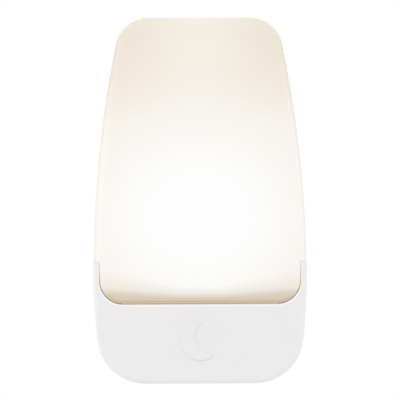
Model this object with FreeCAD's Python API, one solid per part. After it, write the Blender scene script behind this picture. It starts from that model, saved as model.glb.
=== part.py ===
import FreeCAD
import Part
import math
import os

# A plug-in wall night light: a white moulded base with a U-shaped cradle, a frosted pillow-shaped
# lens that rises out of it and narrows towards the top, and a flat rear housing with two plug blades.
#
# Frame, in millimetres: the origin is midway between the blades on the face that meets the wall.
# +Z is up, +Y points into the wall, and the light shines towards -Y. All solids lie at rest.

V = FreeCAD.Vector

# Outline of the body seen from the front
BOTTOM_Z = -22.0          # lowest edge, this far below the blades
TOP_Z = 78.0              # highest edge of the lens
HALF_WIDTH = 29.1         # half of the greatest width
WIDEST_Z = 8.9            # height of the greatest width
UPPER_SIDE_R = 304.0      # bow of each side above the widest place
LOWER_SIDE_R = 177.0      # bow of each side below it
TOP_CORNER_R = 9.3
BOTTOM_CORNER_R = 13.2

# Depth, measured from the wall face towards the viewer
DEPTH = 30.0              # front of the base, on the centre line
PARTING = 8.0             # where the rear housing meets the cover and the lens
FRONT_BOW_R = 260.0       # the front bows gently from side to side
LENS_BOW_R = 560.0        # and the lens leans back in this arc above its widest place
LENS_ROLL_R = 4.6         # the lens's front rolls under at its lower edge
ROLL_DROP = 0.06          # the roll meets the flat underside at a slight angle, not flush

# Walls, gaps and the cradle
WALL = 1.8
FRONT_WALL = 2.0
BACK_WALL = 2.2
GAP = 0.15                # between mouldings that meet
HORN_TOP_Z = 11.1         # the cradle's two arms end here
CRADLE_HALF = 27.45
CRADLE_FLOOR_Z = -0.42
CRADLE_CORNER_R = 6.5
RIM = 1.2                 # rim that turns inwards round the cradle's opening
RIM_REACH = 4.4
FLANGE_HALF = 21.4        # the lens hooks behind the rim, and blocks the seam, this far each way
COVER_EDGE_R = 1.2
LENS_EDGE_R = 3.4         # the lens's front edge is this round at the top, and less further down
FINE_EDGE_R = 0.4
PARTING_BEVEL = 0.3       # both mouldings are bevelled where they meet, which leaves a fine groove

# Plug
BLADE_SPACING = 12.7
BLADE_WIDTH = 6.35
BLADE_THICKNESS = 1.5
BLADE_LENGTH = 17.5
BLADE_HOLE_R = 1.6
BLADE_HOLE_AT = 11.9
BLADE_SHOULDER = 1.2      # each blade is this much wider inside, so that it can't be pulled out
BLADE_TAIL_Z = (-3.0, -0.7)
HOLDER = dict(half_x=13.0, half_z=5.6, back=2.4, front=8.4)

# Circuit board and what stands on it; "out" is the distance from the wall face
BOARD_OUT = 12.0
BOARD_THICKNESS = 1.6
BOARD_HALF = 22.0
BOARD_TOP_Z = 27.0
BOARD_STEP_Z = -12.8      # the board narrows below here, between the screw posts
BOARD_BOTTOM_Z = -18.8
BOARD_TONGUE_HALF = 9.6
LED_PLACES = [(x, z) for x in (-7.0, 7.0) for z in (12.0, 22.0)]
LED_SIZE = (3.5, 0.8, 2.8)
BOARD_SCREW_PLACES = [(-18.0, 20.0), (18.0, 20.0)]

# Fasteners and posts
COVER_SCREW_PLACES = [(-13.5, -15.8), (13.5, -15.8)]
REFLECTOR_SCREW_PLACES = [(-15.0, 52.0), (15.0, 52.0)]
POST_R = 2.8
SCREW_R = 1.25
SCREW_HEAD_R = 2.3
SCREW_HEAD_HEIGHT = 1.6
SCREW_SINK = 3.2          # the heads sit this deep behind the wall face

# Mode switch in the right side of the base
SWITCH_Z = -7.0
SWITCH_OUT = 14.5
SWITCH_TRAVEL = 2.0       # to each side of the middle position
SWITCH_LENGTH = 11.2
SWITCH_BODY_OUT = (12.05, 17.0)
SWITCH_X = (18.4, 20.0, 24.0)
LEVER = (26.6, 2.0, 2.8)  # tip in X, thickness in Y, length in Z
KNOB_FACE_X = 27.7
POCKET_X = 27.0
POCKET = (6.0, 11.0)      # Y and Z size of the pocket that the knob slides in
KNOB_PAD = (5.0, 6.2)
KNOB_NECK = (3.4, 4.2)

# Light sensor in the underside
SENSOR_OUT = 18.0
SENSOR_R = 2.5
WINDOW_R = 2.25
WINDOW_FLANGE_R = 3.2

# Raised crescent on the front of the base
MARK_Z = -10.5
MARK_R = 5.2
MARK_CUT = (2.5, 1.1, 4.4) # X and Z of the bite's centre from the moon's, and its radius
MARK_TIP_R = 0.3
MARK_EDGE_R = 0.18
MARK_HEIGHT = 0.4

FAR = 60.0                # longer than anything in the part


def box(x0, x1, out0, out1, z0, z1):
    """A block. out0 and out1 are distances from the wall face towards the viewer."""
    low_y, high_y = sorted((-out0, -out1))
    return Part.makeBox(x1 - x0, high_y - low_y, z1 - z0, V(x0, low_y, z0))


def rod(x, z, radius, out0, out1):
    """A round bar along Y."""
    low_y, high_y = sorted((-out0, -out1))
    return Part.makeCylinder(radius, high_y - low_y, V(x, low_y, z), V(0, 1, 0))


def slab(face, out0, out1):
    """A front view's face, as thick as the two distances from the wall face say."""
    moved = face.copy()
    moved.translate(V(0, -out0, 0))
    return moved.extrude(V(0, out0 - out1, 0))


def join(shapes):
    whole = shapes[0].multiFuse(shapes[1:]) if len(shapes) > 1 else shapes[0]
    return whole.removeSplitter()


def arc(centre, radius, start, end):
    """An arc in the front view, from one angle to another, in degrees from +X towards +Z."""
    points = []
    for angle in (start, (start + end) / 2, end):
        turn = math.radians(angle)
        points.append(V(centre[0] + radius * math.cos(turn), 0, centre[1] + radius * math.sin(turn)))
    return Part.Arc(*points).toShape()


def closed_face(edges):
    return Part.Face(Part.Wire(Part.sortEdges(edges)[0]))


def line(a, b):
    return Part.LineSegment(V(a[0], 0, a[1]), V(b[0], 0, b[1])).toShape()


def side_geometry():
    """Centres and angles of the arcs on the right-hand side of the outline."""
    upper = (HALF_WIDTH - UPPER_SIDE_R, WIDEST_Z)
    lower = (HALF_WIDTH - LOWER_SIDE_R, WIDEST_Z)
    top_z, low_z = TOP_Z - TOP_CORNER_R, BOTTOM_Z + BOTTOM_CORNER_R
    top_x = upper[0] + math.sqrt((UPPER_SIDE_R - TOP_CORNER_R) ** 2 - (top_z - WIDEST_Z) ** 2)
    low_x = lower[0] + math.sqrt((LOWER_SIDE_R - BOTTOM_CORNER_R) ** 2 - (low_z - WIDEST_Z) ** 2)
    top_angle = math.degrees(math.atan2(top_z - upper[1], top_x - upper[0]))
    low_angle = math.degrees(math.atan2(low_z - lower[1], low_x - lower[0]))
    return upper, lower, (top_x, top_z), (low_x, low_z), top_angle, low_angle


def body_face(inset=0.0):
    """The whole outline of the light in the front view, taken in by inset."""
    upper, lower, top, low, top_angle, low_angle = side_geometry()
    right = [
        arc(top, TOP_CORNER_R - inset, top_angle, 90),
        arc(upper, UPPER_SIDE_R - inset, 0, top_angle),
        arc(lower, LOWER_SIDE_R - inset, low_angle, 0),
        arc(low, BOTTOM_CORNER_R - inset, -90, low_angle),
    ]
    left = [e.mirror(V(0, 0, 0), V(1, 0, 0)) for e in right]
    ends = [
        line((-top[0], TOP_Z - inset), (top[0], TOP_Z - inset)),
        line((-low[0], BOTTOM_Z + inset), (low[0], BOTTOM_Z + inset)),
    ]
    return closed_face(right + left + ends)


def cradle_face(inset=0.0, top_z=HORN_TOP_Z + 10):
    """The U-shaped opening of the cradle, taken in by inset."""
    half, floor, radius = CRADLE_HALF - inset, CRADLE_FLOOR_Z + inset, CRADLE_CORNER_R - inset
    centre = (half - radius, floor + radius)
    corner = arc(centre, radius, -90, 0)
    right = [corner, line((half, centre[1]), (half, top_z))]
    left = [e.mirror(V(0, 0, 0), V(1, 0, 0)) for e in right]
    ends = [line((-centre[0], floor), (centre[0], floor)), line((-half, top_z), (half, top_z))]
    return closed_face(right + left + ends)


def bowed(points_and_arcs):
    """Turns a side-view outline about the distant upright axis that the front bows round."""
    axis_y = FRONT_BOW_R - DEPTH
    spread = 9.0
    face = Part.Face(Part.Wire(points_and_arcs))
    face.rotate(V(0, axis_y, 0), V(0, 0, 1), -spread)
    return face.revolve(V(0, axis_y, 0), V(0, 0, 1), 2 * spread)


def side_line(a, b):
    """A line in the side view, from (distance out, height) to (distance out, height)."""
    return Part.LineSegment(V(0, -a[0], a[1]), V(0, -b[0], b[1])).toShape()


def side_arc(centre, radius, start, end):
    """An arc in the side view; angles from straight out towards +Z."""
    points = []
    for angle in (start, (start + end) / 2, end):
        turn = math.radians(angle)
        points.append(V(0, -centre[0] - radius * math.cos(turn), centre[1] + radius * math.sin(turn)))
    return Part.Arc(*points).toShape()


def cover_front(inset=0.0):
    """Everything behind the base's bowed front, taken in by inset."""
    out = DEPTH - inset
    corners = [(out, -FAR), (out, FAR), (-4, FAR), (-4, -FAR)]
    return bowed([side_line(corners[i], corners[(i + 1) % 4]) for i in range(4)])


def lens_front(inset=0.0):
    """Everything behind the lens's front: rolled under at the foot, upright, then leaning back."""
    floor = CRADLE_FLOOR_Z + GAP + inset - ROLL_DROP
    roll = LENS_ROLL_R - inset
    out = DEPTH - inset
    bow = LENS_BOW_R - inset
    bow_centre = (DEPTH - LENS_BOW_R, WIDEST_Z)
    end_z = TOP_Z + 4
    end_angle = math.degrees(math.asin((end_z - WIDEST_Z) / bow))
    end_out = bow_centre[0] + bow * math.cos(math.radians(end_angle))
    return bowed([
        side_line((-4, floor), (out - roll, floor)),
        side_arc((out - roll, floor + roll), roll, -90, 0),
        side_line((out, floor + roll), (out, WIDEST_Z)),
        side_arc(bow_centre, bow, 0, end_angle),
        side_line((end_out, end_z), (-4, end_z)),
        side_line((-4, end_z), (-4, floor)),
    ])


def middle(edge):
    return edge.valueAt((edge.FirstParameter + edge.LastParameter) / 2)


def front_view_gap(edge, face):
    """How far the middle of an edge lies from an outline, seen from the front."""
    point = middle(edge)
    return Part.Vertex(V(point.x, 0, point.z)).distToShape(face.OuterWire)[0]


def runs_deep(edge):
    """True for an edge that runs straight from front to back."""
    return abs(edge.tangentAt(edge.FirstParameter).y) > 0.95


def rounded(solid, radius, wanted):
    edges = [e for e in solid.Edges if not runs_deep(e) and wanted(e)]
    return solid.makeFillet(radius, edges)


def bevelled(shell, outline):
    """Bevels a moulding's outer edge on the plane where the rear housing meets the front."""
    edges = [e for e in shell.Edges if abs(middle(e).y + PARTING) < 0.01
             and front_view_gap(e, outline) < 0.01]
    return shell.makeChamfer(PARTING_BEVEL, edges)


def rounded_more_upwards(solid, low_r, high_r, wanted):
    """Rounds edges by low_r at the foot of the lens's sides, growing to high_r at the top."""
    document = FreeCAD.newDocument()
    base = document.addObject("Part::Feature", "Base")
    base.Shape = solid
    radii = []
    for number, edge in enumerate(solid.Edges, 1):
        if runs_deep(edge) or not wanted(edge):
            continue
        start, end = (edge.valueAt(p).z for p in (edge.FirstParameter, edge.LastParameter))
        on_side = min(start, end) < WIDEST_Z + 1
        start_r = low_r if on_side and start < end else high_r
        end_r = low_r if on_side and end < start else high_r
        radii.append((number, start_r, end_r))
    fillet = document.addObject("Part::Fillet", "Fillet")
    fillet.Base = base
    fillet.Edges = radii
    document.recompute()
    shape = fillet.Shape.copy()
    FreeCAD.closeDocument(document.Name)
    return shape


def front_cover():
    """The white base: front wall, side walls, the cradle's two arms, and two screw posts."""
    outer = body_face()
    shell = slab(outer, PARTING, DEPTH + 5).common(cover_front())
    shell = shell.common(box(-FAR, FAR, 0, FAR, -FAR, HORN_TOP_Z))
    shell = rounded(shell, COVER_EDGE_R, lambda e: (
        middle(e).y < -PARTING - 10 and front_view_gap(e, outer) < 0.01
        and middle(e).z < HORN_TOP_Z - 0.01))
    shell = bevelled(shell, outer)
    hollow = slab(body_face(WALL), PARTING, DEPTH).common(cover_front(FRONT_WALL))
    opening = slab(cradle_face(), 0, DEPTH + 5)
    rim = slab(cradle_face(-RIM), DEPTH - RIM_REACH, DEPTH - 0.9).common(slab(body_face(0.5), 0, FAR))
    rim = rim.common(box(-FAR, FAR, 0, FAR, -FAR, HORN_TOP_Z))
    inside = [rim.common(cover_front(0.6))]
    for x, z in COVER_SCREW_PLACES:
        inside.append(rod(x, z, POST_R, PARTING + 0.6, DEPTH - 1.5))
    inside.append(switch_surround())
    cover = join([shell.cut(hollow)] + inside).cut(opening)
    cover = rounded(cover, FINE_EDGE_R, lambda e: (
        middle(e).y < -DEPTH + 1.2 and front_view_gap(e, cradle_face()) < 0.01
        and middle(e).z < HORN_TOP_Z - 0.01))
    for x, z in COVER_SCREW_PLACES:
        cover = cover.cut(rod(x, z, SCREW_R + 0.05, PARTING, 21))
    cover = cover.cut(switch_openings())
    window_hole = Part.makeCylinder(WINDOW_R + 0.05, 6, V(0, -SENSOR_OUT, BOTTOM_Z - 1))
    return join([cover.cut(window_hole), crescent()])


def switch_surround():
    """A thicker pad inside the right-hand wall, which the knob's pocket is sunk into."""
    half_z = POCKET[1] / 2 + 0.8
    pad = box(25.2, FAR, SWITCH_OUT - 3.8, SWITCH_OUT + 3.8, SWITCH_Z - half_z, SWITCH_Z + half_z)
    return pad.common(slab(body_face(0.5), 0, FAR))


def switch_openings():
    """The pocket that the knob slides in, and the slot through its floor."""
    slot_half = KNOB_NECK[1] / 2 + SWITCH_TRAVEL + 0.2
    slot = box(24, FAR, SWITCH_OUT - 1.9, SWITCH_OUT + 1.9, SWITCH_Z - slot_half, SWITCH_Z + slot_half)
    half_y, half_z = POCKET[0] / 2, POCKET[1] / 2
    pocket = box(POCKET_X, FAR, SWITCH_OUT - half_y, SWITCH_OUT + half_y,
                 SWITCH_Z - half_z, SWITCH_Z + half_z)
    pocket = pocket.makeFillet(1.2, [e for e in pocket.Edges if e.Length > FAR / 2])
    return slot.fuse(pocket)


def crescent():
    """A plain crescent moon with rounded tips and edges, raised from the front of the base."""
    bite_x, bite_z, bite_r = MARK_CUT
    moon = rod(0, MARK_Z, MARK_R, DEPTH - 1, DEPTH + 2)
    moon = moon.cut(rod(bite_x, MARK_Z + bite_z, bite_r, 0, FAR))
    tips = [e for e in moon.Edges if runs_deep(e) and abs(math.hypot(middle(e).x - bite_x,
            middle(e).z - MARK_Z - bite_z) - bite_r) < 0.01]
    moon = moon.makeFillet(MARK_TIP_R, tips).common(cover_front(-MARK_HEIGHT))
    return rounded(moon, MARK_EDGE_R, lambda e: middle(e).y < -DEPTH)


def above(z):
    return box(-FAR, FAR, 0, FAR, z, FAR * 2)


def below(z):
    return box(-FAR, FAR, 0, FAR, -FAR, z)


def lens_plan(inset, back=0.0, low_back=0.0):
    """The lens's plan as a thick slab: full width above the arms, narrower between them."""
    step_z = HORN_TOP_Z + GAP + inset
    upper = slab(body_face(0.1 + inset), back, DEPTH + 5).common(above(step_z))
    lower = slab(cradle_face(GAP + inset, step_z + 3), low_back, DEPTH + 5).common(below(step_z))
    return join([upper, lower])


def diffuser_lens():
    """The frosted lens: one tray-shaped moulding, open towards the wall."""
    outline = body_face(0.1)
    pillow = slab(outline, PARTING, DEPTH + 5).common(lens_front()).common(above(WIDEST_Z))
    pillow = rounded_more_upwards(pillow, COVER_EDGE_R, LENS_EDGE_R, lambda e: (
        middle(e).y < -PARTING - 6 and front_view_gap(e, outline) < 0.01
        and middle(e).z > WIDEST_Z + 0.1))
    pillow = pillow.common(above(HORN_TOP_Z + GAP))
    seat = cradle_face(GAP, HORN_TOP_Z + 5)
    foot = slab(seat, BOARD_OUT + 0.3, DEPTH + 5).common(lens_front()).common(below(HORN_TOP_Z + GAP))
    foot = rounded(foot, FINE_EDGE_R, lambda e: (
        middle(e).y < -DEPTH + 2 and abs(middle(e).x) > CRADLE_HALF - 1))
    cavity = lens_plan(WALL).common(lens_front(WALL))
    flange_out = DEPTH - RIM_REACH - 0.2
    flange = box(-FLANGE_HALF, FLANGE_HALF, flange_out - 1.4, flange_out, -1.6, 0.8)
    return join([join([pillow, foot]).cut(cavity), flange] + lens_tabs())


def lens_tabs(clearance=0.0):
    """Snap tabs on the lens's rear edge, which go down into pockets in the rear housing."""
    c = clearance
    tabs = [box(-3 - c, 3 + c, 3.6 - c, PARTING + 2, TOP_Z - 1.8 - c, TOP_Z - 0.9 + c)]
    for side in (-1, 1):
        x = side * 26.1
        tabs.append(box(x - 0.45 - c, x + 0.45 + c, 3.6 - c, PARTING + 2, 37 - c, 43 + c))
    return tabs


def reflector():
    """The white tray behind the lens: a plate with a raised rim and four lamp funnels."""
    out = BOARD_OUT + 1.8
    edge = WALL + 0.6
    plate = lens_plan(edge).common(box(-FAR, FAR, out, out + 0.8, -FAR, FAR * 2))
    rim = lens_plan(edge).cut(lens_plan(edge + 0.9)).common(box(-FAR, FAR, out, out + 2.6, -FAR, FAR * 2))
    body = [plate, rim]
    for x, z in REFLECTOR_SCREW_PLACES:
        body.append(rod(x, z, POST_R, 5.4, out + 0.2))
    for x, z in LED_PLACES:
        body.append(Part.makeCone(3.1, 5.1, 1.9, V(x, -BOARD_OUT - 1.1, z), V(0, -1, 0)))
    tray = join(body)
    for x, z in LED_PLACES:
        tray = tray.cut(Part.makeCone(2.5, 4.5, 2.0, V(x, -BOARD_OUT - 1.05, z), V(0, -1, 0)))
    for x, z in REFLECTOR_SCREW_PLACES:
        tray = tray.cut(rod(x, z, SCREW_R + 0.05, 0, out - 0.6))
    return tray


def rear_housing():
    """The rear shell: the face against the wall, its rim, posts, and the plug's two slots."""
    outer = body_face()
    shell = rounded(slab(outer, 0, PARTING), COVER_EDGE_R, lambda e: middle(e).y > -0.01)
    shell = bevelled(shell, outer)
    tongue = slab(body_face(WALL + 0.35), 1, PARTING + 1.5)
    lens_sill = box(-FAR, FAR, PARTING, FAR, HORN_TOP_Z - 0.1, HORN_TOP_Z + GAP + WALL + 0.3)
    tongue = tongue.cut(lens_sill)
    shell = join([shell, tongue])
    shell = shell.cut(slab(body_face(WALL + 1.35), BACK_WALL, PARTING + 3))
    posts = []
    for x, z in COVER_SCREW_PLACES:
        posts.append(rod(x, z, POST_R + 0.6, 1, PARTING + 0.4))
    for x, z in REFLECTOR_SCREW_PLACES:
        posts.append(rod(x, z, POST_R + 0.6, 1, 5.2))
    for x, z in BOARD_SCREW_PLACES:
        posts.append(rod(x, z, 2.4, 1, BOARD_OUT - BOARD_THICKNESS))
    shell = join([shell] + posts)
    for x, z in COVER_SCREW_PLACES + REFLECTOR_SCREW_PLACES:
        shell = shell.cut(rod(x, z, SCREW_HEAD_R + 0.3, -1, SCREW_SINK))
        shell = shell.cut(rod(x, z, SCREW_R + 0.15, -1, FAR))
    for x, z in BOARD_SCREW_PLACES:
        shell = shell.cut(rod(x, z, SCREW_R - 0.25, 4, FAR))
    for tab in lens_tabs(0.12):
        shell = shell.cut(tab)
    for x in blade_places():
        slot_x, slot_z = BLADE_THICKNESS / 2 + 0.2, BLADE_WIDTH / 2 + 0.2
        shell = shell.cut(box(x - slot_x, x + slot_x, -1, 5, -slot_z, slot_z))
    return shell.cut(label_recess())


def label_recess():
    """A shallow blank recess in the wall face, where a maker would put a rating label."""
    recess = box(-17, 17, -1, 0.25, 18, 40)
    return recess.makeFillet(2.0, [e for e in recess.Edges if abs(e.Length - 1.25) < 0.01])


def blade_places():
    return (-BLADE_SPACING / 2, BLADE_SPACING / 2)


def blade_plan(grow=0.0):
    """One blade seen from the side: rounded tip, shoulders inside, and a tail for soldering."""
    half = BLADE_WIDTH / 2 + grow
    tip = 1.9
    shoulder = half + BLADE_SHOULDER
    low_tail, high_tail = BLADE_TAIL_Z[0] - grow, BLADE_TAIL_Z[1] + grow
    neck_out, shoulder_out, tail_out = 2.5 - grow, 5.5 + grow, BOARD_OUT + 1.2
    points = [(-BLADE_LENGTH + tip, half), (neck_out, half), (neck_out, shoulder),
              (shoulder_out, shoulder), (shoulder_out, high_tail), (tail_out, high_tail),
              (tail_out, low_tail), (shoulder_out, low_tail), (shoulder_out, -shoulder),
              (neck_out, -shoulder), (neck_out, -half), (-BLADE_LENGTH + tip, -half)]
    edges = [side_line(points[i], points[i + 1]) for i in range(len(points) - 1)]
    edges.append(side_arc((-BLADE_LENGTH + tip, -half + tip), tip, 270, 180))
    edges.append(side_line((-BLADE_LENGTH, -half + tip), (-BLADE_LENGTH, half - tip)))
    edges.append(side_arc((-BLADE_LENGTH + tip, half - tip), tip, 180, 90))
    return Part.Face(Part.Wire(Part.sortEdges(edges)[0]))


def blade(x, grow=0.0):
    face = blade_plan(grow)
    half = BLADE_THICKNESS / 2 + grow
    face.translate(V(x - half, 0, 0))
    solid = face.extrude(V(2 * half, 0, 0))
    if grow:
        return solid
    hole = Part.makeCylinder(BLADE_HOLE_R, 10, V(x - 5, BLADE_HOLE_AT, 0), V(1, 0, 0))
    edge = 0.35
    solid = solid.makeChamfer(edge, [e for e in solid.Edges if e.BoundBox.YMin > BLADE_LENGTH - 2
                                     and abs(e.BoundBox.XMax - e.BoundBox.XMin) < 0.01])
    return solid.cut(hole)


def left_blade():
    return blade(-BLADE_SPACING / 2)


def right_blade():
    return blade(BLADE_SPACING / 2)


def blade_holder():
    """The insulating block that grips both blades against the back wall."""
    h = HOLDER
    block = box(-h["half_x"], h["half_x"], h["back"], h["front"], -h["half_z"], h["half_z"])
    block = block.makeFillet(1.5, [e for e in block.Edges if abs(middle(e).x) > h["half_x"] - 0.01
                                   and abs(abs(middle(e).z) - h["half_z"]) < 0.01])
    for x in blade_places():
        block = block.cut(blade(x, 0.04))
    return block


def insulating_sheet():
    sheet = box(-17, 17, 9.4, 9.7, -11.5, 10)
    for x in blade_places():
        sheet = sheet.cut(box(x - 1.2, x + 1.2, 9, 10, BLADE_TAIL_Z[0] - 0.4, BLADE_TAIL_Z[1] + 0.4))
    return sheet


def main_board():
    """The circuit board, narrowed at its foot to pass between the screw posts."""
    back = BOARD_OUT - BOARD_THICKNESS
    board = box(-BOARD_HALF, BOARD_HALF, back, BOARD_OUT, BOARD_STEP_Z, BOARD_TOP_Z)
    tongue = box(-BOARD_TONGUE_HALF, BOARD_TONGUE_HALF, back, BOARD_OUT, BOARD_BOTTOM_Z, BOARD_STEP_Z + 1)
    board = join([board, tongue])
    for x, z in BOARD_SCREW_PLACES:
        board = board.cut(rod(x, z, 1.4, 0, FAR))
    for x in blade_places():
        board = board.cut(box(x - 0.85, x + 0.85, 0, FAR, BLADE_TAIL_Z[0] - 0.1, BLADE_TAIL_Z[1] + 0.1))
    for x, z in sensor_lead_places():
        board = board.cut(rod(x, z, 0.4, 0, FAR))
    for x, z in switch_pin_places():
        board = board.cut(rod(x, z, 0.45, 0, FAR))
    return board


def on_board(x, z, size):
    """A block of size (X, out, Z) that stands on the front of the board."""
    sx, sy, sz = size
    return box(x - sx / 2, x + sx / 2, BOARD_OUT, BOARD_OUT + sy, z - sz / 2, z + sz / 2)


def led_packages():
    leds = []
    for x, z in LED_PLACES:
        led = on_board(x, z, LED_SIZE)
        leds.append(led.cut(rod(x, z, 1.15, BOARD_OUT + LED_SIZE[1] - 0.35, FAR)))
    return leds


def led_phosphor():
    top = BOARD_OUT + LED_SIZE[1]
    return [rod(x, z, 1.1, top - 0.35, top - 0.03) for x, z in LED_PLACES]


def smoothing_capacitor():
    """A radial electrolytic can standing on the board, with its crimped groove."""
    x, z, radius, height = 3.4, -7.4, 4.0, 12.0
    can = rod(x, z, radius, BOARD_OUT + 0.2, BOARD_OUT + height)
    can = can.makeFillet(0.5, [e for e in can.Edges if e.Length > 20 and len(e.Vertexes) == 1])
    groove = Part.makeTorus(radius + 0.25, 0.45, V(x, -BOARD_OUT - 1.9, z), V(0, 1, 0))
    return can.cut(groove)


def film_capacitor():
    body = on_board(-11.0, -8.6, (13.0, 11.0, 6.0))
    return body.makeFillet(0.5, [e for e in body.Edges if middle(e).y < -BOARD_OUT - 1])


def surge_varistor():
    """A lacquered disc on edge."""
    disc = Part.makeCylinder(3.5, 3.0, V(9.0, -BOARD_OUT - 5.2, -7.0), V(1, 0, 0))
    disc = disc.makeFillet(1.0, disc.Edges[:1] + [e for e in disc.Edges[1:] if len(e.Vertexes) == 1])
    leads = [rod(10.5, z, 0.3, BOARD_OUT, BOARD_OUT + 3.2) for z in (-9.0, -5.0)]
    return join([disc] + leads)


def fusible_resistor():
    """An axial resistor lying along X, with its two bent leads."""
    z, out, radius = -2.7, BOARD_OUT + 2.0, 1.5
    ends = (-20.0, -8.8)
    body = Part.makeCylinder(radius, 8.4, V(ends[0] + 1.4, -out, z), V(1, 0, 0))
    body = body.makeFillet(0.6, [e for e in body.Edges if len(e.Vertexes) == 1])
    lead = Part.makeCylinder(0.3, ends[1] - ends[0], V(ends[0], -out, z), V(1, 0, 0))
    legs = [rod(x, z, 0.3, BOARD_OUT, out) for x in ends]
    return join([body, lead] + legs)


def bridge_rectifier():
    body = on_board(15.2, -3.6, (3.9, 1.6, 4.6))
    legs = [on_board(15.2 + x, -3.6 + z, (0.9, 0.5, 0.6)) for x in (-2.3, 2.3) for z in (-1.3, 1.3)]
    return join([body] + legs)


def driver_chip():
    body = on_board(15.2, -9.8, (3.9, 1.5, 4.9))
    legs = [on_board(15.2 + x, -9.8 + z, (0.9, 0.4, 0.4)) for x in (-2.3, 2.3)
            for z in (-1.905, -0.635, 0.635, 1.905)]
    return join([body] + legs)


def chip_resistors():
    places = [(x, 4.6) for x in (-15.0, -11.5, -3.0, 0.5, 11.0, 14.5)]
    return [on_board(x, z, (1.25, 0.55, 2.0)) for x, z in places]


def sensor_lead_places():
    return [(-1.27, -14.6), (1.27, -14.6)]


def photocell():
    """The light-dependent cell, facing down, with two leads bent back to the board."""
    face_z, height = BOTTOM_Z + 2.9, 2.2
    cell = Part.makeCylinder(SENSOR_R, height, V(0, -SENSOR_OUT, face_z))
    cell = cell.makeFillet(0.3, [e for e in cell.Edges if len(e.Vertexes) == 1])
    parts = [cell]
    for x, z in sensor_lead_places():
        top = z
        foot = face_z + height - 0.6
        parts.append(Part.makeCylinder(0.25, top - foot, V(x, -SENSOR_OUT, foot)))
        parts.append(rod(x, top, 0.25, BOARD_OUT - 2.4, SENSOR_OUT))
        parts.append(Part.makeSphere(0.25, V(x, -SENSOR_OUT, top)))
    return join(parts)


def sensor_window():
    """A clear plug in the underside that lets daylight reach the cell."""
    plug = Part.makeCylinder(WINDOW_R, WALL + 0.1, V(0, -SENSOR_OUT, BOTTOM_Z))
    flange = Part.makeCylinder(WINDOW_FLANGE_R, 0.7, V(0, -SENSOR_OUT, BOTTOM_Z + WALL + 0.05))
    plug = join([plug, flange])
    return plug.makeFillet(0.3, [e for e in plug.Edges if abs(middle(e).z - BOTTOM_Z) < 0.01])


def switch_pin_places():
    return [(19.2, SWITCH_Z + z) for z in (-3.75, -1.25, 1.25, 3.75)]


def switch_base():
    """The switch's insulating floor, which carries the fixed contacts."""
    back, front = SWITCH_BODY_OUT
    return box(SWITCH_X[0], SWITCH_X[1], back, front, SWITCH_Z - SWITCH_LENGTH / 2,
               SWITCH_Z + SWITCH_LENGTH / 2)


def switch_terminals():
    """Four pins: an arm on the floor's inner face and a leg down through the board."""
    pins = []
    for x, z in switch_pin_places():
        leg = box(x - 0.25, x + 0.25, BOARD_OUT - 2.6, SWITCH_BODY_OUT[0], z - 0.25, z + 0.25)
        pins.append(leg)
    return pins


def switch_frame():
    """The folded steel frame, with the lever's slot in its outer face."""
    back, front = SWITCH_BODY_OUT
    low, high = SWITCH_Z - SWITCH_LENGTH / 2, SWITCH_Z + SWITCH_LENGTH / 2
    steel = 0.35
    shell = box(SWITCH_X[1], SWITCH_X[2], back, front, low, high)
    shell = shell.makeFillet(0.3, [e for e in shell.Edges if middle(e).x > SWITCH_X[2] - 0.01])
    inner = box(SWITCH_X[1] - 1, SWITCH_X[2] - steel, back + steel, front - steel,
                low + steel, high - steel)
    slot_half = LEVER[2] / 2 + SWITCH_TRAVEL + 0.15
    slot_y = LEVER[1] / 2 + 0.15
    slot = box(SWITCH_X[2] - 1, SWITCH_X[2] + 1, SWITCH_OUT - slot_y, SWITCH_OUT + slot_y,
               SWITCH_Z - slot_half, SWITCH_Z + slot_half)
    return shell.cut(inner).cut(slot)


def switch_slider():
    """The moulded slider inside the frame, with the lever that comes out through the slot."""
    block = box(20.9, 23.5, SWITCH_OUT - 1.9, SWITCH_OUT + 1.9, SWITCH_Z - 3.0, SWITCH_Z + 3.0)
    half_y, half_z = LEVER[1] / 2, LEVER[2] / 2
    lever = box(23.0, LEVER[0], SWITCH_OUT - half_y, SWITCH_OUT + half_y,
                SWITCH_Z - half_z, SWITCH_Z + half_z)
    return join([block, lever])


def switch_wiper():
    """The sprung contact strip under the slider, with a bump that bridges the fixed contacts."""
    strip = box(20.6, 20.85, SWITCH_OUT - 1.2, SWITCH_OUT + 1.2, SWITCH_Z - 2.6, SWITCH_Z + 2.6)
    bumps = [box(20.1, 20.7, SWITCH_OUT - 0.5, SWITCH_OUT + 0.5, SWITCH_Z + z - 0.4, SWITCH_Z + z + 0.4)
             for z in (-1.25, 1.25)]
    return join([strip] + bumps)


def switch_knob():
    """The white cap that a finger slides, with three grip ridges."""
    pad_y, pad_z = KNOB_PAD[0] / 2, KNOB_PAD[1] / 2
    floor = POCKET_X + 0.12
    pad = box(floor, KNOB_FACE_X - 0.25, SWITCH_OUT - pad_y, SWITCH_OUT + pad_y,
              SWITCH_Z - pad_z, SWITCH_Z + pad_z)
    pad = pad.makeFillet(0.9, [e for e in pad.Edges if e.Length < 0.6])
    ridges = [box(floor + 0.2, KNOB_FACE_X, SWITCH_OUT - pad_y + 0.7, SWITCH_OUT + pad_y - 0.7,
                  SWITCH_Z + z - 0.3, SWITCH_Z + z + 0.3) for z in (-1.5, 0, 1.5)]
    neck_y, neck_z = KNOB_NECK[0] / 2, KNOB_NECK[1] / 2
    neck = box(24.4, floor + 0.1, SWITCH_OUT - neck_y, SWITCH_OUT + neck_y,
               SWITCH_Z - neck_z, SWITCH_Z + neck_z)
    bore_y, bore_z = LEVER[1] / 2 + 0.03, LEVER[2] / 2 + 0.03
    bore = box(24, LEVER[0] + 0.1, SWITCH_OUT - bore_y, SWITCH_OUT + bore_y,
               SWITCH_Z - bore_z, SWITCH_Z + bore_z)
    return join([pad, neck] + ridges).cut(bore)


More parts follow.
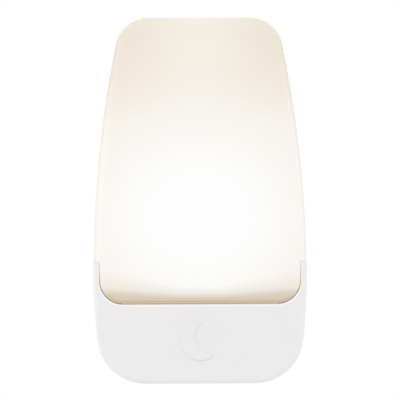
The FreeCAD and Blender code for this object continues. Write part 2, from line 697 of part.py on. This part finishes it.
def screw(x, z, out_head, length, head_r=SCREW_HEAD_R, towards_viewer=True):
    """A self-tapping pan-head screw along Y, with a cross recess. out_head is under its head."""
    way = 1 if towards_viewer else -1
    shank = rod(x, z, SCREW_R if towards_viewer else SCREW_R - 0.3, out_head, out_head + way * length)
    head = rod(x, z, head_r, out_head, out_head - way * SCREW_HEAD_HEIGHT)
    face_y = -(out_head - way * SCREW_HEAD_HEIGHT)
    head = head.makeFillet(0.6, [e for e in head.Edges
                                 if len(e.Vertexes) == 1 and abs(middle(e).y - face_y) < 0.01])
    solid = join([shank, head])
    near, far = out_head - way * 0.5, out_head - way * 3
    for half_x, half_z in ((1.3, 0.28), (0.28, 1.3)):
        solid = solid.cut(box(x - half_x, x + half_x, near, far, z - half_z, z + half_z))
    return solid


def housing_screws():
    long_ones = [screw(x, z, SCREW_SINK, 13.0) for x, z in COVER_SCREW_PLACES]
    short_ones = [screw(x, z, SCREW_SINK, 8.0) for x, z in REFLECTOR_SCREW_PLACES]
    return long_ones + short_ones


def board_screws():
    return [screw(x, z, BOARD_OUT, 6.0, 2.1, False) for x, z in BOARD_SCREW_PLACES]


def solder_joints():
    """Solder cones round each blade's tail, on the front of the board."""
    cones = []
    middle_z = sum(BLADE_TAIL_Z) / 2
    for x in blade_places():
        cone = Part.makeCone(1.75, 1.3, 0.9, V(x, -BOARD_OUT, middle_z - 0.1), V(0, -1, 0))
        cones.append(cone.cut(blade(x, 0.02)))
    return cones


PARTS = {
    "front_cover": front_cover,
    "diffuser_lens": diffuser_lens,
    "rear_housing": rear_housing,
    "reflector": reflector,
    "left_blade": left_blade,
    "right_blade": right_blade,
    "blade_holder": blade_holder,
    "insulating_sheet": insulating_sheet,
    "main_board": main_board,
    "solder_joints": solder_joints,
    "led_packages": led_packages,
    "led_phosphor": led_phosphor,
    "smoothing_capacitor": smoothing_capacitor,
    "film_capacitor": film_capacitor,
    "surge_varistor": surge_varistor,
    "fusible_resistor": fusible_resistor,
    "bridge_rectifier": bridge_rectifier,
    "driver_chip": driver_chip,
    "chip_resistors": chip_resistors,
    "photocell": photocell,
    "sensor_window": sensor_window,
    "switch_base": switch_base,
    "switch_terminals": switch_terminals,
    "switch_frame": switch_frame,
    "switch_slider": switch_slider,
    "switch_wiper": switch_wiper,
    "switch_knob": switch_knob,
    "housing_screws": housing_screws,
    "board_screws": board_screws,
}


def write_parts():
    os.makedirs("parts", exist_ok=True)
    for name, make in PARTS.items():
        made = make()
        solids = made if isinstance(made, list) else made.Solids
        for solid in solids:
            if not solid.isValid() or solid.Volume <= 0:
                raise ValueError(f"{name} holds a solid that isn't valid")
        shape = Part.makeCompound([s for item in solids for s in item.Solids])
        shape.exportStep(f"parts/{name}.step")
        print(f"{name}: {len(shape.Solids)} solid(s), {shape.Volume:.1f} mm3")


write_parts()
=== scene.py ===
import bpy
import math
from mathutils import Matrix, Vector


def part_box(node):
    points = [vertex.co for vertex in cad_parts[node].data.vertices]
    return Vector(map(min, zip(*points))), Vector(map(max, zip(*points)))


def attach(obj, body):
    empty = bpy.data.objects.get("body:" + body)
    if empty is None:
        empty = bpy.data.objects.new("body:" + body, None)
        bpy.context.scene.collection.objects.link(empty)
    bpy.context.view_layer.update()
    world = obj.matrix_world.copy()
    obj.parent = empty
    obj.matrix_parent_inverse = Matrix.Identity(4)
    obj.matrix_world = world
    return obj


# A plug-in night light, lit: a white moulded base that cradles a frosted lens.
# Metres. +Z is up, the wall is at Y = 0 and the light shines towards -Y.

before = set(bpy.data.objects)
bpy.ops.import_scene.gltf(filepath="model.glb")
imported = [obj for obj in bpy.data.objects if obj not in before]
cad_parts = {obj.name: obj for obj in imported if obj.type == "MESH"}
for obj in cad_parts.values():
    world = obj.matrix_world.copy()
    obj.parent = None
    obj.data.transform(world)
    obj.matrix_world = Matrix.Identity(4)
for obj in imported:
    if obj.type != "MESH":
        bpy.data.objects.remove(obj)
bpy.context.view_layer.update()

MM = 0.001

# Places on the object, from the frame
COVER_LOW, COVER_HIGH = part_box("front_cover")
LENS_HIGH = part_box("diffuser_lens")[1]
KNOB_LOW, KNOB_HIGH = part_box("switch_knob")
LED_LOW, LED_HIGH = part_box("led_packages")
BODY = "light_body"

# The cradle's U-shaped edge, seen from the front
CRADLE_HALF = 27.45 * MM
CRADLE_FLOOR = -0.42 * MM
CRADLE_CORNER = 6.5 * MM

# The outline's side arcs, seen from the front, below and above its widest place
WIDEST_Z = 8.9 * MM
LOWER_SIDE_R = 177.0 * MM
UPPER_SIDE_R = 304.0 * MM

# The lens's light: brightest in front of the lamps and a little above them
GLOW_Z = (LED_LOW.z + LED_HIGH.z) / 2 + 6 * MM
GLOW_SIDEWAYS = 0.87      # a step sideways dims it this many times as much as a step upwards
GLOW_REACH = 60 * MM
GLOW_COLOURS = [(11, "#FBFBFB"), (18, "#F9F8F5"), (24, "#F6F4EF"), (30, "#F4F1EB"), (35, "#F3EDE5"),
                (40, "#F2EBE0"), (56, "#F0E9DE")]  # distance in mm, and the colour there
OWN_LIGHT = 0.6           # the share of the lens's brightness that comes from within

# The lens's other bands of painted light and shade. A pair says where a band begins and where it ends
CORNER_ACROSS = (4 * MM, 26 * MM)
CORNER_HEIGHT = (50 * MM, 72 * MM)
SIDE_BAND = (0.2 * MM, 0.9 * MM)    # measured in from the lens's outline
FOOT_ACROSS = (6 * MM, 24 * MM)     # between these, the foot's bands change as the next two lines say
FOOT_LIFT = (0.9 * MM, -0.6 * MM)
FOOT_GLOW_TOP = (5.2 * MM, 8.2 * MM)
FOOT_GLOW_START = 3.2 * MM
FOOT_ROLL = (1.6 * MM, 3.7 * MM)
FOOT_ROLL_SHARE = 0.62              # how far the roll goes from tan to lit; the glow above it does the rest
STEP_SHADOW_INSIDE = 0.76 * MM             # how far the painted shadow line of the fine step lies inside the cradle's edge
STEP_SHADOW_EDGE = (0.03 * MM, 0.12 * MM)
STEP_SHADOW_FADE = (1.0 * MM, 2.5 * MM)    # in height, as is the seam's
SEAM_EDGE = (0.16 * MM, 0.3 * MM)
SEAM_FADE = (2.5 * MM, 10.5 * MM)

# The cover's painted highlight along the cradle's edge, where the lens's light falls on it
RIM_HIGHLIGHT_OUTSIDE = 0.36 * MM             # how far it lies outside the cradle's edge
RIM_HIGHLIGHT_EDGE = (0.02 * MM, 0.22 * MM)

# The words beside the switch
SWITCH_WORDS = (("ON", 4.4 * MM), ("AUTO", 0.0), ("OFF", -4.4 * MM))  # and how far above the knob's middle
WORD_SIZE = 1.9 * MM
WORD_AWAY = 3.7 * MM                # in front of the knob's middle
INK_THICKNESS = 0.02 * MM

# The photograph's frame and where the object lies in it
FRAME_PIXELS = 400.0
OBJECT_TOP_PX = 16.6
OBJECT_FOOT_PX = 383.3
OBJECT_MIDDLE_PX = 199.7
CAMERA_AWAY = 1.6         # metres
CAMERA_ROLL = 0.3         # degrees; the light leans this much to its left in the photograph
SENSOR_MM = 36.0          # the camera's own sensor, which only sets its scale

# The studio, in metres
FLOOR_REACH, FLOOR_LEVEL = 3.0, -0.30
ROOM_STRENGTH = 0.8
LIGHTS_TARGET = (0, -0.015, 0.028)


def linear(code):
    """An sRGB hex colour as the linear colour that the shaders use."""
    parts = [int(code[i:i + 2], 16) / 255 for i in (1, 3, 5)]
    return tuple(c / 12.92 if c <= 0.04045 else ((c + 0.055) / 1.055) ** 2.4 for c in parts) + (1.0,)


def add(tree, kind, **given):
    """Adds a shader node with its settings and links, and returns it.

    A leading underscore marks a setting. Other names are sockets, by name or as i and a number, and take a
    value, a socket or a node, which links its first output in use.
    """
    node = tree.nodes.new("ShaderNode" + kind)
    for name, value in given.items():
        if name.startswith("_"):
            setattr(node, name[1:], value)
    for name, value in given.items():
        if name.startswith("_"):
            continue
        key = int(name[1:]) if name[0] == "i" and name[1:].isdigit() else name.replace("_", " ")
        if isinstance(value, bpy.types.Node):
            value = next(output for output in value.outputs if output.enabled)
        if isinstance(value, bpy.types.NodeSocket):
            tree.links.new(value, node.inputs[key])
        else:
            node.inputs[key].default_value = value
    return node


def new_material(name):
    made = bpy.data.materials.new(name)
    made.use_nodes = True
    made.node_tree.nodes.clear()
    return made, made.node_tree


def finish(tree, **sockets):
    """Closes a material with one Principled shader."""
    add(tree, "OutputMaterial", Surface=add(tree, "BsdfPrincipled", **sockets))


def grain(tree, size_mm, detail=3.0, stretch=(1, 1, 1)):
    """Noise from 0 to 1 whose bumps are about size_mm across, longer where stretch is small."""
    place = add(tree, "TexCoord").outputs["Object"]
    stretched = add(tree, "Mapping", Vector=place, Scale=stretch)
    return add(tree, "TexNoise", Vector=stretched, Scale=1 / (size_mm * MM), Detail=detail)


def front_view(tree):
    """A point's distance from the middle line, its height, and how far it lies inside the cradle's edge."""
    axes = add(tree, "SeparateXYZ", Vector=add(tree, "TexCoord").outputs["Object"])
    height = axes.outputs["Z"]
    across = add(tree, "Math", _operation="ABSOLUTE", i0=axes.outputs["X"])
    sideways = add(tree, "Math", _operation="SUBTRACT", i0=across, i1=CRADLE_HALF - CRADLE_CORNER)
    downwards = add(tree, "Math", _operation="SUBTRACT", i0=CRADLE_FLOOR + CRADLE_CORNER, i1=height)
    reach = add(tree, "CombineXYZ", X=add(tree, "Math", _operation="MAXIMUM", i0=sideways, i1=0.0),
                Y=add(tree, "Math", _operation="MAXIMUM", i0=downwards, i1=0.0))
    length = add(tree, "VectorMath", _operation="LENGTH", i0=reach)
    inside = add(tree, "Math", _operation="SUBTRACT", i0=CRADLE_CORNER, i1=length)
    return across, height, inside


def white_abs(name, painted_rim_highlight=False):
    """Injection-moulded ABS: cool white, with the fine dull texture of a spark-eroded mould.

    The cover's has a painted highlight along the cradle's rounded edge, standing in for the lens's light
    falling on it.
    """
    made, tree = new_material(name)
    texture = grain(tree, 0.35)
    colour = add(tree, "Mix", _data_type="RGBA", i0=grain(tree, 14.0, 1.0), i6=linear("#EDEBEC"),
                 i7=linear("#F0EEEE"))
    # A painted highlight along the cradle's rounded edge, for the lens's light falling on it
    if painted_rim_highlight:
        _, _, inside = front_view(tree)
        off_edge = add(tree, "Math", _operation="ADD", i0=inside, i1=RIM_HIGHLIGHT_OUTSIDE)
        distance = add(tree, "Math", _operation="ABSOLUTE", i0=off_edge)
        plain = add(tree, "MapRange", Value=distance, From_Min=RIM_HIGHLIGHT_EDGE[0], From_Max=RIM_HIGHLIGHT_EDGE[1])
        colour = add(tree, "Mix", _data_type="RGBA", i0=plain, i6=linear("#FAFAF8"), i7=colour)
    finish(tree, Base_Color=colour, IOR=1.53,
           Roughness=add(tree, "MapRange", Value=texture, To_Min=0.38, To_Max=0.5),
           Normal=add(tree, "Bump", Height=texture, Distance=0.006 * MM))
    return made


def lamp_glow(tree):
    """The lens's lit colour by distance from the lamps' middle, seen from the front."""
    place = add(tree, "TexCoord").outputs["Object"]
    flat = add(tree, "Mapping", Vector=place, Scale=(GLOW_SIDEWAYS, 0, 1), Location=(0, 0, -GLOW_Z))
    away = add(tree, "VectorMath", _operation="LENGTH", i0=flat)
    share = add(tree, "Math", _operation="DIVIDE", i0=away, i1=GLOW_REACH)
    glow = add(tree, "ValToRGB", Fac=share)
    stops = glow.color_ramp.elements
    for number, (distance, code) in enumerate(GLOW_COLOURS):
        at = distance * MM / GLOW_REACH
        stop = stops[number] if number < len(stops) else stops.new(at)
        stop.position, stop.color = at, linear(code)
    return glow


def painted_corner_shade(tree, skin, across, height):
    """Painted shade: the lens is a little darker and warmer towards its two top corners, where the lamps'
    light is weaker.
    """
    outwards = add(tree, "MapRange", Value=across, From_Min=CORNER_ACROSS[0], From_Max=CORNER_ACROSS[1])
    upwards = add(tree, "MapRange", Value=height, From_Min=CORNER_HEIGHT[0], From_Max=CORNER_HEIGHT[1])
    share = add(tree, "Math", _operation="MULTIPLY", i0=outwards, i1=upwards)
    return add(tree, "Mix", _data_type="RGBA", i0=share, i6=skin, i7=linear("#E8DCCC"))


def shaded_sides(tree, skin, across, height):
    """The lens's side walls face away from the lamps, so they and the edges beside them are dimmer."""
    rise = add(tree, "Math", _operation="SUBTRACT", i0=height, i1=WIDEST_Z)
    squared = add(tree, "Math", _operation="MULTIPLY", i0=rise, i1=rise)
    narrowing = add(tree, "Math", _operation="DIVIDE", i0=squared, i1=2 * UPPER_SIDE_R)
    from_side = add(tree, "Math", _operation="SUBTRACT", i1=across,
                    i0=add(tree, "Math", _operation="SUBTRACT", i0=LENS_HIGH.x, i1=narrowing))
    share = add(tree, "MapRange", Value=from_side, From_Min=SIDE_BAND[0], From_Max=SIDE_BAND[1],
                To_Min=1.0, To_Max=0.0)
    return add(tree, "Mix", _data_type="RGBA", _blend_type="MULTIPLY", i0=share, i6=skin,
               i7=linear("#F6F4EF"))


def tan_foot(tree, skin, across, height):
    """The lens's foot rolls under, out of the lamps' reach: it goes from white to tan within a few mm."""
    sides = {"Value": across, "From_Min": FOOT_ACROSS[0], "From_Max": FOOT_ACROSS[1]}
    lift = add(tree, "MapRange", To_Min=FOOT_LIFT[0], To_Max=FOOT_LIFT[1], **sides)
    lifted = add(tree, "Math", _operation="ADD", i0=height, i1=lift)
    roll = add(tree, "MapRange", _interpolation_type="SMOOTHSTEP", Value=lifted, From_Min=FOOT_ROLL[0],
               From_Max=FOOT_ROLL[1], To_Max=FOOT_ROLL_SHARE)
    glow_top = add(tree, "MapRange", To_Min=FOOT_GLOW_TOP[0], To_Max=FOOT_GLOW_TOP[1], **sides)
    above_roll = add(tree, "MapRange", Value=lifted, From_Min=FOOT_GLOW_START, From_Max=glow_top,
                     To_Max=1 - FOOT_ROLL_SHARE)
    lit = add(tree, "Math", _operation="ADD", i0=roll, i1=above_roll)
    return add(tree, "Mix", _data_type="RGBA", i0=lit, i6=linear("#DCCEBA"), i7=skin)


def painted_step_shadow(tree, skin, height, inside):
    """A painted shadow: a darker line just above the seam, standing in for the shade of a fine step. It is
    colour only.
    """
    off_line = add(tree, "Math", _operation="SUBTRACT", i0=inside, i1=STEP_SHADOW_INSIDE)
    distance = add(tree, "Math", _operation="ABSOLUTE", i0=off_line)
    beside = add(tree, "MapRange", Value=distance, From_Min=STEP_SHADOW_EDGE[0], From_Max=STEP_SHADOW_EDGE[1])
    higher = add(tree, "MapRange", Value=height, From_Min=STEP_SHADOW_FADE[0], From_Max=STEP_SHADOW_FADE[1])
    plain = add(tree, "Math", _operation="MAXIMUM", i0=beside, i1=higher)
    return add(tree, "Mix", _data_type="RGBA", i0=plain, i6=linear("#BEAC94"), i7=skin)


def amber_seam(tree, skin, height, inside):
    """The amber of light that leaks along the seam, fading out up the cradle's arms. It is colour only."""
    beside = add(tree, "MapRange", Value=inside, From_Min=SEAM_EDGE[0], From_Max=SEAM_EDGE[1])
    higher = add(tree, "MapRange", Value=height, From_Min=SEAM_FADE[0], From_Max=SEAM_FADE[1])
    plain = add(tree, "Math", _operation="MAXIMUM", i0=beside, i1=higher)
    return add(tree, "Mix", _data_type="RGBA", i0=plain, i6=linear("#C8B393"), i7=skin)


def frosted_polycarbonate():
    """Frosted polycarbonate over lit lamps: white by the lamps, warm cream far from them.

    Most of what it shows is its own light. The surface has the mould's fine silky texture.
    """
    made, tree = new_material("frosted_polycarbonate")
    across, height, inside = front_view(tree)
    # The skin carries painted shade at the top corners, the sides and the foot, and a painted shadow line
    # above the seam
    skin = painted_corner_shade(tree, lamp_glow(tree), across, height)
    skin = tan_foot(tree, shaded_sides(tree, skin, across, height), across, height)
    skin = amber_seam(tree, painted_step_shadow(tree, skin, height, inside), height, inside)
    texture = grain(tree, 0.3)
    finish(tree, Base_Color=add(tree, "VectorMath", _operation="SCALE", i0=skin, Scale=1 - OWN_LIGHT),
           Emission_Color=skin, Emission_Strength=OWN_LIGHT, IOR=1.585,
           Roughness=add(tree, "MapRange", Value=texture, To_Min=0.52, To_Max=0.66),
           Normal=add(tree, "Bump", Height=texture, Distance=0.004 * MM))
    return made


def nickel_plated_brass():
    """Stamped brass under bright nickel: warm silver with faint drawing lines along the blade."""
    made, tree = new_material("nickel_plated_brass")
    lines = grain(tree, 0.25, 3.0, (1.0, 0.06, 1.0))
    finish(tree, Metallic=1.0,
           Base_Color=add(tree, "Mix", _data_type="RGBA", i0=grain(tree, 3.0), i6=linear("#C6BEAC"),
                          i7=linear("#D8D2C5")),
           Roughness=add(tree, "MapRange", Value=lines, To_Min=0.16, To_Max=0.34),
           Normal=add(tree, "Bump", Height=lines, Distance=0.004 * MM))
    return made


def zinc_plated_steel():
    """Zinc-plated steel: cool grey with a faint spangle and a fine brushed sheen."""
    made, tree = new_material("zinc_plated_steel")
    place = add(tree, "TexCoord").outputs["Object"]
    spangle = add(tree, "TexVoronoi", Vector=place, Scale=1 / (0.7 * MM)).outputs["Distance"]
    finish(tree, Metallic=1.0,
           Base_Color=add(tree, "Mix", _data_type="RGBA", i0=spangle, i6=linear("#A9ABB0"),
                          i7=linear("#C3C5C8")),
           Roughness=add(tree, "MapRange", Value=spangle, To_Min=0.26, To_Max=0.44))
    return made


def moulded_plastic(name, dark, light, roughness, ior, grain_mm):
    """A moulded or dipped piece with a slightly uneven colour and a fine textured skin."""
    made, tree = new_material(name)
    texture = grain(tree, grain_mm)
    finish(tree, IOR=ior,
           Base_Color=add(tree, "Mix", _data_type="RGBA", i0=texture, i6=linear(dark), i7=linear(light)),
           Roughness=add(tree, "MapRange", Value=texture, To_Min=roughness - 0.06,
                         To_Max=roughness + 0.08),
           Normal=add(tree, "Bump", Height=texture, Distance=0.006 * MM))
    return made


def clear_polycarbonate():
    """Clear polycarbonate: lets light through to the cell, with a polished face."""
    made, tree = new_material("clear_polycarbonate")
    texture = grain(tree, 1.2)
    finish(tree, Transmission_Weight=0.9, IOR=1.585,
           Base_Color=add(tree, "Mix", _data_type="RGBA", i0=texture, i6=linear("#EEF1F2"),
                          i7=linear("#F5F7F7")),
           Roughness=add(tree, "MapRange", Value=texture, To_Min=0.04, To_Max=0.14))
    return made


def solder_mask():
    """Glass-epoxy board under green solder mask, with copper tracks that show as paler lines."""
    made, tree = new_material("green_solder_mask")
    place = add(tree, "TexCoord").outputs["Object"]
    tracks = add(tree, "TexBrick", Vector=place, Scale=1 / (4 * MM), Mortar_Size=0.1,
                 Color1=linear("#1B5230"), Color2=linear("#1F5C37"), Mortar=linear("#3A8A56"))
    finish(tree, Base_Color=tracks.outputs["Color"], IOR=1.55,
           Roughness=add(tree, "MapRange", Value=grain(tree, 1.0), To_Min=0.3, To_Max=0.42),
           Normal=add(tree, "Bump", Height=tracks.outputs["Fac"], Distance=0.03 * MM))
    return made


def lit_phosphor():
    """Yellow phosphor gel over the lamp's chip, lit."""
    made, tree = new_material("lit_phosphor")
    texture = grain(tree, 0.2)
    finish(tree, IOR=1.41, Emission_Color=linear("#FFF1CF"), Emission_Strength=4.0,
           Base_Color=add(tree, "Mix", _data_type="RGBA", i0=texture, i6=linear("#F0D070"),
                          i7=linear("#FBE9AC")),
           Roughness=add(tree, "MapRange", Value=texture, To_Min=0.25, To_Max=0.38))
    return made


def printed_ink():
    """Pad-printed grey ink: matt, a little uneven where the pad lifted."""
    made, tree = new_material("printed_grey_ink")
    texture = grain(tree, 0.4)
    finish(tree, IOR=1.5,
           Base_Color=add(tree, "Mix", _data_type="RGBA", i0=texture, i6=linear("#737477"),
                          i7=linear("#86878A")),
           Roughness=add(tree, "MapRange", Value=texture, To_Min=0.55, To_Max=0.7))
    return made


def dress(nodes, made):
    """Gives a finish to the frame's own nodes."""
    for name in nodes:
        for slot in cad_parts[name].material_slots:
            slot.material = made


def dress_housing():
    # The cover's material has a painted highlight along the cradle's edge
    dress(["front_cover"], white_abs("white_abs_cover_painted_highlight", painted_rim_highlight=True))
    dress(["rear_housing", "switch_knob"], white_abs("moulded_white_abs"))
    dress(["diffuser_lens"], frosted_polycarbonate())
    dress(["sensor_window"], clear_polycarbonate())
    dress(["left_blade", "right_blade"], nickel_plated_brass())


def dress_inside():
    dress(["housing_screws", "board_screws", "switch_frame", "solder_joints", "switch_terminals",
           "switch_wiper"], zinc_plated_steel())
    dress(["reflector", "led_packages"],
          moulded_plastic("white_reflector_pc", "#EAEAE6", "#F4F4F1", 0.5, 1.585, 0.5))
    dress(["blade_holder", "switch_slider"],
          moulded_plastic("black_glass_filled_nylon", "#0F0F11", "#1B1B1E", 0.5, 1.53, 0.4))
    dress(["insulating_sheet"], moulded_plastic("fish_paper", "#B9B397", "#C9C3A9", 0.8, 1.5, 0.6))
    dress(["main_board"], solder_mask())
    dress(["led_phosphor"], lit_phosphor())
    dress(["smoothing_capacitor"],
          moulded_plastic("shrunk_sleeve", "#14161C", "#1E2028", 0.3, 1.5, 1.5))
    dress(["film_capacitor"],
          moulded_plastic("dipped_epoxy_red", "#8E2018", "#A32A1F", 0.3, 1.55, 1.5))
    dress(["surge_varistor"],
          moulded_plastic("dipped_lacquer_blue", "#16306E", "#1D3F8C", 0.3, 1.5, 1.0))
    dress(["fusible_resistor"],
          moulded_plastic("resistor_lacquer", "#3F5F43", "#4F7554", 0.4, 1.5, 0.8))
    dress(["bridge_rectifier", "driver_chip", "chip_resistors"],
          moulded_plastic("chip_epoxy", "#0E0E10", "#17171A", 0.55, 1.55, 0.3))
    dress(["photocell"], moulded_plastic("cell_ceramic", "#C9B68F", "#DCCDA9", 0.3, 1.6, 0.5))
    dress(["switch_base"], moulded_plastic("phenolic_board", "#3E2113", "#4E2B19", 0.5, 1.55, 0.5))


def side_of_cover(height):
    """The base's side wall at a height below its widest place: its X, and how far it leans out upwards."""
    lean = math.asin((WIDEST_Z - height) / LOWER_SIDE_R)
    return COVER_HIGH.x - LOWER_SIDE_R * (1 - math.cos(lean)), lean


def switch_lettering(ink):
    """Generic words in front of the switch that name its three places, printed on the side wall."""
    knob = (KNOB_LOW + KNOB_HIGH) / 2
    for word, up in SWITCH_WORDS:
        curve = bpy.data.curves.new(f"switch_word_{word.lower()}", "FONT")
        curve.body = word
        curve.size = WORD_SIZE
        curve.extrude = INK_THICKNESS
        curve.align_x, curve.align_y = "RIGHT", "CENTER"
        curve.materials.append(ink)
        letters = bpy.data.objects.new(curve.name, curve)
        bpy.context.collection.objects.link(letters)
        height = knob.z + up
        side, lean = side_of_cover(height)
        in_wall = Matrix(((0, math.sin(lean), math.cos(lean)), (1, 0, 0),
                          (0, math.cos(lean), -math.sin(lean))))
        place = Vector((side + INK_THICKNESS, knob.y - WORD_AWAY, height))
        letters.matrix_world = Matrix.Translation(place) @ in_wall.to_4x4()
        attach(letters, BODY)


def seen_directly(tree):
    """1 for the camera's own rays, mirrored rays and rays through clear plastic, otherwise 0."""
    path = add(tree, "LightPath")
    either = add(tree, "Math", _operation="MAXIMUM", i0=path.outputs["Is Camera Ray"],
                 i1=path.outputs["Is Glossy Ray"])
    return add(tree, "Math", _operation="MAXIMUM", i0=either, i1=path.outputs["Is Transmission Ray"])


def stage_floor():
    """A pale floor well below the light, which shows as white to the camera."""
    made, tree = new_material("pale_floor")
    diffuse = add(tree, "BsdfDiffuse", Color=linear("#F4F4F4"))
    white = add(tree, "Emission", Color=linear("#FFFFFF"), Strength=1.0)
    add(tree, "OutputMaterial", Surface=add(tree, "MixShader", i0=seen_directly(tree), i1=diffuse, i2=white))
    mesh = bpy.data.meshes.new("floor")
    corners = [(x * FLOOR_REACH, y * FLOOR_REACH, FLOOR_LEVEL)
               for x, y in ((-1, -1), (1, -1), (1, 1), (-1, 1))]
    mesh.from_pydata(corners, [], [(0, 1, 2, 3)])
    mesh.materials.append(made)
    floor = bpy.data.objects.new("floor", mesh)
    bpy.context.collection.objects.link(floor)


def studio_world():
    """An even pale room that lights the object, and shows as white to the camera."""
    world = bpy.data.worlds.new("studio")
    bpy.context.scene.world = world
    world.use_nodes = True
    tree = world.node_tree
    tree.nodes.clear()
    white = add(tree, "Background", Color=linear("#FFFFFF"), Strength=1.0)
    room = add(tree, "Background", Color=linear("#FFFFFF"), Strength=ROOM_STRENGTH)
    add(tree, "OutputWorld", Surface=add(tree, "MixShader", i0=seen_directly(tree), i1=room, i2=white))


def softbox(name, place, size, power):
    lamp = bpy.data.lights.new(name, "AREA")
    lamp.shape = "RECTANGLE"
    lamp.size, lamp.size_y = size
    lamp.energy = power
    made = bpy.data.objects.new(name, lamp)
    made.location = place
    made.rotation_euler = (Vector(LIGHTS_TARGET) - Vector(place)).to_track_quat("-Z", "Y").to_euler()
    bpy.context.collection.objects.link(made)


def studio_lights():
    softbox("key_softbox", (-0.25, -0.9, 0.75), (0.9, 0.7), 1.7)
    softbox("left_softbox", (-0.95, -0.25, 0.25), (0.7, 0.7), 1.6)
    softbox("right_softbox", (0.95, -0.25, 0.25), (0.7, 0.7), 1.6)
    softbox("rear_softbox", (0.0, 0.9, 0.6), (0.9, 0.6), 1.2)


def photograph_camera():
    """Straight on, level with the light's middle, and far enough for a nearly parallel view."""
    height = LENS_HIGH.z - COVER_LOW.z
    frame_height = height * FRAME_PIXELS / (OBJECT_FOOT_PX - OBJECT_TOP_PX)
    data = bpy.data.cameras.new("camera")
    data.sensor_width = SENSOR_MM
    data.lens = SENSOR_MM * CAMERA_AWAY / frame_height
    data.clip_start, data.clip_end = 0.05, 20.0
    camera = bpy.data.objects.new("camera", data)
    nearest = COVER_LOW.y + 3 * MM
    aside = (FRAME_PIXELS / 2 - OBJECT_MIDDLE_PX) / FRAME_PIXELS * frame_height
    camera.location = (aside, nearest - CAMERA_AWAY, (LENS_HIGH.z + COVER_LOW.z) / 2)
    camera.rotation_euler = (math.radians(90), math.radians(CAMERA_ROLL), 0)
    bpy.context.collection.objects.link(camera)
    bpy.context.scene.camera = camera


bpy.context.scene.view_settings.view_transform = "Standard"
photograph_camera()
dress_housing()
dress_inside()
switch_lettering(printed_ink())
stage_floor()
studio_world()
studio_lights()
